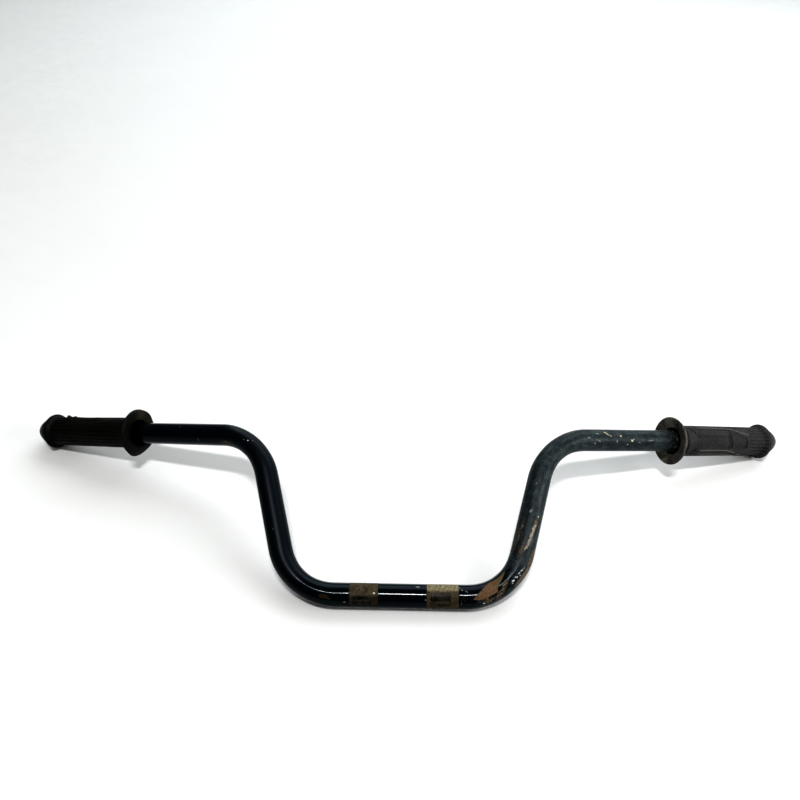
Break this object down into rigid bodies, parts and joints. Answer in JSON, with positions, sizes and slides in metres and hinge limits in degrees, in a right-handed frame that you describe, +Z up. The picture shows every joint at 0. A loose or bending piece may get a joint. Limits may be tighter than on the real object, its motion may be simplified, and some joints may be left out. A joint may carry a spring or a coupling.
{
  "type": "motorcycle handlebar",
  "caption": "Bent steel handlebar with a low clamp section, raised risers and swept-back ends, each with a flanged closed rubber grip.",
  "frame": {"origin": "middle of the straight clamp section, on the tube's axis; the surface that the bar lies on is 11.1 mm below it", "axes": "+X along the clamp section towards the right-hand grip as the camera sees it, +Y from the clamp section towards the grips, +Z up from the surface that the bar lies on"},
  "size_m": [0.8346, 0.2341, 0.0826],
  "materials": {
    "bar_paint": "gloss blue-black paint, scuffed and chipped, with rust patches at the lower bend and bare brownish bands where the clamps sat",
    "grip_rubber": "matt black rubber, dusty and faded grey, with moulded grooves and worn smooth panels"
  },
  "bodies": {
    "root": {"bar_tube": "bar_paint", "grip_left": "grip_rubber", "grip_right": "grip_rubber"}
  },
  "joints": []
}
